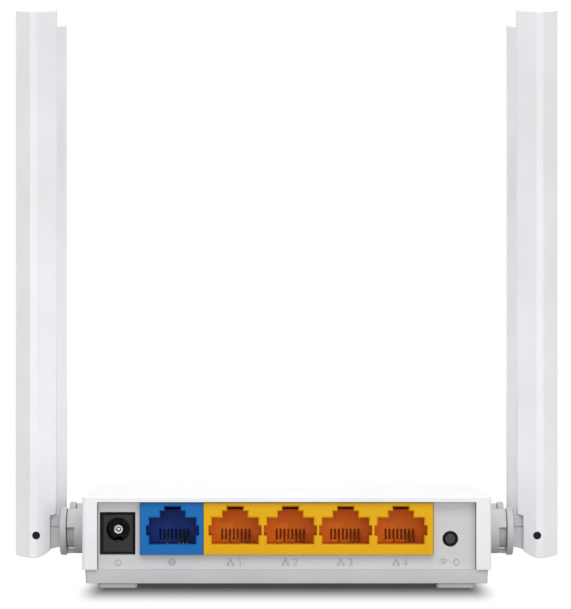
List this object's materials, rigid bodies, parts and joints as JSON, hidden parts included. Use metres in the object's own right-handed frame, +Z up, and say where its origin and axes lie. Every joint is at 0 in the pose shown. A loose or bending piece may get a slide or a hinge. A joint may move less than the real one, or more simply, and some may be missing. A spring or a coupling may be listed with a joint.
{
  "type": "wireless router",
  "caption": "Small desktop wireless router with folding swivel antennas, a recessed connector panel with modular network sockets, a power inlet and a sprung reset button.",
  "frame": {"origin": "on the resting surface, under the middle of the whole object", "axes": "+X to the right when facing the connector panel, +Y towards the front wall (the panel faces -Y), +Z up along the raised antennas"},
  "size_m": [0.1404, 0.084, 0.1496],
  "materials": {
    "cover_plastic": "smooth white moulded plastic, satin gloss",
    "base_plastic": "fine-textured white moulded plastic",
    "panel_plastic": "fine-textured white moulded plastic",
    "antenna_plastic": "smooth white moulded plastic, satin gloss",
    "hinge_plastic": "white moulded plastic, slightly greyer, semi-matt",
    "foot_rubber": "soft grey-white rubber",
    "jack_black": "black moulded plastic",
    "socket_blue": "glossy blue moulded plastic",
    "socket_yellow": "glossy amber-yellow moulded plastic",
    "contact_gold": "gold-plated spring contact",
    "plated_steel": "nickel-plated metal",
    "screw_steel": "zinc-plated steel",
    "button_plastic": "dark grey moulded plastic",
    "board_laminate": "green solder-masked laminate",
    "chip_black": "black moulded chip package",
    "heatsink_metal": "extruded aluminium",
    "shield_metal": "tinned sheet steel",
    "capacitor_can": "aluminium can",
    "ferrite": "moulded ferrite",
    "lamp_lens": "pale lamp package",
    "guide_clear": "clear moulded plastic",
    "lead_jacket": "thin black coaxial jacket",
    "element_board": "printed radiating strip",
    "pin_steel": "dark steel pin"
  },
  "bodies": {
    "case": {"top_cover": "cover_plastic", "bottom_case": "base_plastic", "rear_panel": "panel_plastic", "rubber_feet": "foot_rubber", "case_screws": "screw_steel", "board_screws": "screw_steel", "wan_port_housing": "socket_blue", "wan_port_contacts": "contact_gold", "lan_port_housing": "socket_yellow", "lan_port_contacts": "contact_gold", "dc_jack_housing": "jack_black", "dc_jack_pin": "plated_steel", "dc_jack_terminals": "plated_steel", "reset_switch": "jack_black", "main_board": "board_laminate", "network_transformers": "chip_black", "processor_chip": "chip_black", "heatsink": "heatsink_metal", "memory_chips": "chip_black", "radio_chip": "chip_black", "radio_shield": "shield_metal", "capacitors": "capacitor_can", "power_inductor": "ferrite", "crystals": "shield_metal", "status_leds": "lamp_lens", "light_guide": "guide_clear", "hub_nuts": "hinge_plastic", "left_rear_hub": "hinge_plastic", "left_rear_lead": "lead_jacket", "right_rear_hub": "hinge_plastic", "right_rear_lead": "lead_jacket", "left_front_hub": "hinge_plastic", "left_front_lead": "lead_jacket", "right_front_hub": "hinge_plastic", "right_front_lead": "lead_jacket"},
    "reset_button": {"reset_button": "button_plastic"},
    "left_rear_swivel_part": {"left_rear_knuckle": "hinge_plastic", "left_rear_clip": "screw_steel"},
    "left_rear_antenna": {"left_rear_pin": "pin_steel", "left_rear_blade_rear": "antenna_plastic", "left_rear_blade_front": "antenna_plastic", "left_rear_element": "element_board"},
    "right_rear_swivel_part": {"right_rear_knuckle": "hinge_plastic", "right_rear_clip": "screw_steel"},
    "right_rear_antenna": {"right_rear_pin": "pin_steel", "right_rear_blade_rear": "antenna_plastic", "right_rear_blade_front": "antenna_plastic", "right_rear_element": "element_board"},
    "left_front_swivel_part": {"left_front_knuckle": "hinge_plastic", "left_front_clip": "screw_steel"},
    "left_front_antenna": {"left_front_pin": "pin_steel", "left_front_blade_rear": "antenna_plastic", "left_front_blade_front": "antenna_plastic", "left_front_element": "element_board"},
    "right_front_swivel_part": {"right_front_knuckle": "hinge_plastic", "right_front_clip": "screw_steel"},
    "right_front_antenna": {"right_front_pin": "pin_steel", "right_front_blade_rear": "antenna_plastic", "right_front_blade_front": "antenna_plastic", "right_front_element": "element_board"}
  },
  "joints": [
    {"name": "left_rear_swivel", "type": "hinge", "parent": "case", "child": "left_rear_swivel_part", "pos_m": [-0.0568, -0.0177, 0.01325], "axis": [1, 0, 0], "range_deg": [-4, 90]},
    {"name": "left_rear_fold", "type": "hinge", "parent": "left_rear_swivel_part", "child": "left_rear_antenna", "pos_m": [-0.0647, -0.0177, 0.0123], "axis": [0, -1, 0], "range_deg": [0, 90]},
    {"name": "right_rear_swivel", "type": "hinge", "parent": "case", "child": "right_rear_swivel_part", "pos_m": [0.0568, -0.0177, 0.01325], "axis": [1, 0, 0], "range_deg": [-4, 90]},
    {"name": "right_rear_fold", "type": "hinge", "parent": "right_rear_swivel_part", "child": "right_rear_antenna", "pos_m": [0.0647, -0.0177, 0.0123], "axis": [0, 1, 0], "range_deg": [0, 90]},
    {"name": "left_front_swivel", "type": "hinge", "parent": "case", "child": "left_front_swivel_part", "pos_m": [-0.0568, 0.0177, 0.01325], "axis": [-1, 0, 0], "range_deg": [-4, 90]},
    {"name": "left_front_fold", "type": "hinge", "parent": "left_front_swivel_part", "child": "left_front_antenna", "pos_m": [-0.0647, 0.0177, 0.0123], "axis": [0, -1, 0], "range_deg": [0, 90]},
    {"name": "right_front_swivel", "type": "hinge", "parent": "case", "child": "right_front_swivel_part", "pos_m": [0.0568, 0.0177, 0.01325], "axis": [-1, 0, 0], "range_deg": [-4, 90]},
    {"name": "right_front_fold", "type": "hinge", "parent": "right_front_swivel_part", "child": "right_front_antenna", "pos_m": [0.0647, 0.0177, 0.0123], "axis": [0, 1, 0], "range_deg": [0, 90]},
    {"name": "reset_press", "type": "slide", "parent": "case", "child": "reset_button", "axis": [0, 1, 0], "range_m": [0, 0.0003], "stiffness_N_per_m": 200, "springref_m": -0.0005}
  ]
}
